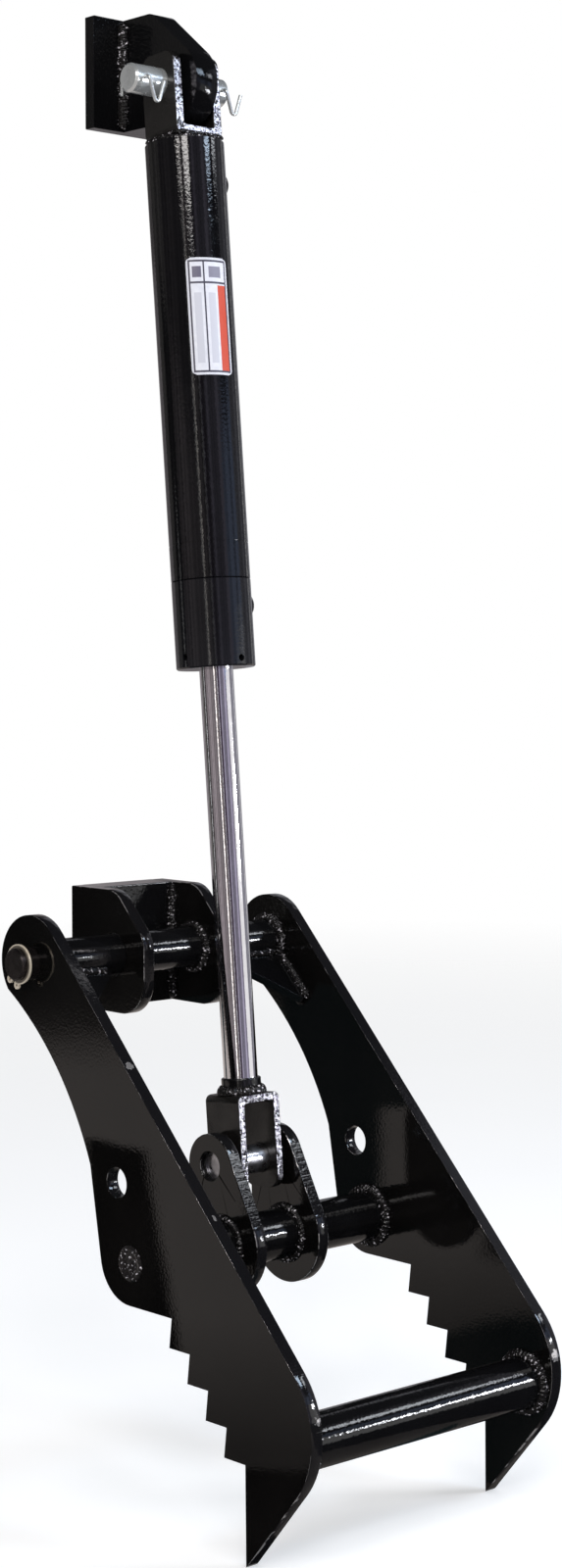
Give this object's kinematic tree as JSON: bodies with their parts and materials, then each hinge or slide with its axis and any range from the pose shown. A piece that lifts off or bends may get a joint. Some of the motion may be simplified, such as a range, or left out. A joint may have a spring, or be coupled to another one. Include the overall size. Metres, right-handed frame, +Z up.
{
  "type": "hydraulic excavator thumb",
  "caption": "Weld-on hydraulic thumb for a small excavator: two toothed side plates on a pivot bracket, swung by a cylinder from an upper bracket.",
  "frame": {"origin": "centre of the flat weld face behind the lower bracket", "axes": "+X along the pivot pin to the machine's right, +Y out of the weld face into the stick, +Z up the stick towards the upper bracket"},
  "size_m": [0.3153, 0.4217, 1.298],
  "materials": {
    "black_gloss_paint": "gloss black paint with light orange peel",
    "barrel_paint": "gloss black paint",
    "gland_paint": "gloss black paint over turned steel",
    "clevis_paint": "black paint, bright flame-cut edges",
    "hard_chrome": "ground and polished hard chrome",
    "bright_steel": "ground steel",
    "pin_steel": "dark oiled steel",
    "clear_zinc": "clear zinc plate",
    "yellow_zinc": "yellow zinc plate",
    "spring_steel": "oiled spring steel",
    "bronze": "turned bronze",
    "cast_iron": "machined cast iron",
    "seal_rubber": "moulded seal",
    "wear_ring_plastic": "filled plastic band"
  },
  "bodies": {
    "lower_bracket": {"lower_base_block": "black_gloss_paint", "lower_cheek_left": "black_gloss_paint", "lower_cheek_right": "black_gloss_paint", "pivot_sleeve": "black_gloss_paint", "pivot_bushings": "bronze"},
    "thumb": {"side_plate_left": "black_gloss_paint", "side_plate_right": "black_gloss_paint", "mid_tube": "black_gloss_paint", "tip_tube": "black_gloss_paint", "cylinder_ear_left": "black_gloss_paint", "cylinder_ear_right": "black_gloss_paint", "pivot_boss_left": "black_gloss_paint", "pivot_boss_right": "black_gloss_paint", "boss_gusset_left": "black_gloss_paint", "boss_gusset_right": "black_gloss_paint", "pivot_pin": "pin_steel", "pivot_snap_rings": "yellow_zinc", "rod_pin": "bright_steel", "rod_pin_rings": "spring_steel"},
    "rod": {"piston_rod": "hard_chrome", "rod_collar": "black_gloss_paint", "rod_clevis": "clevis_paint", "piston": "cast_iron", "piston_seal": "seal_rubber", "piston_wear_ring": "wear_ring_plastic", "piston_nut": "spring_steel"},
    "barrel": {"barrel_tube": "barrel_paint", "base_cap": "barrel_paint", "base_clevis": "clevis_paint", "gland": "gland_paint", "rod_seal": "seal_rubber", "rod_wiper": "seal_rubber", "rod_wear_ring": "wear_ring_plastic", "base_port_boss": "barrel_paint", "gland_port_boss": "gland_paint"},
    "upper_bracket": {"upper_base_plate": "black_gloss_paint", "upper_lug": "black_gloss_paint", "upper_pin": "clear_zinc", "hitch_clips": "clear_zinc"}
  },
  "joints": [
    {"name": "thumb_swing", "type": "hinge", "parent": "lower_bracket", "child": "thumb", "pos_m": [0, -0.06, -0.003], "axis": [-1, 0, 0], "range_deg": [0, 90]},
    {"name": "rod_pivot", "type": "hinge", "parent": "thumb", "child": "rod", "pos_m": [0, -0.18, -0.178], "axis": [-1, 0, 0], "range_deg": [-81, 0]},
    {"name": "rod_slide", "type": "slide", "parent": "rod", "child": "barrel", "axis": [0, -0.0906, -0.9959], "range_m": [0, 0.29]},
    {"name": "bracket_pivot", "type": "hinge", "parent": "barrel", "child": "upper_bracket", "pos_m": [0, -0.094, 0.767], "axis": [-1, 0, 0], "range_deg": [-12, 0]}
  ],
  "couplings": [
    {"joint": "rod_pivot", "follows": "thumb_swing", "ratio": -0.8925},
    {"joint": "rod_slide", "follows": "thumb_swing", "m_per_rad": 0.171},
    {"joint": "bracket_pivot", "follows": "thumb_swing", "ratio": -0.1075}
  ]
}
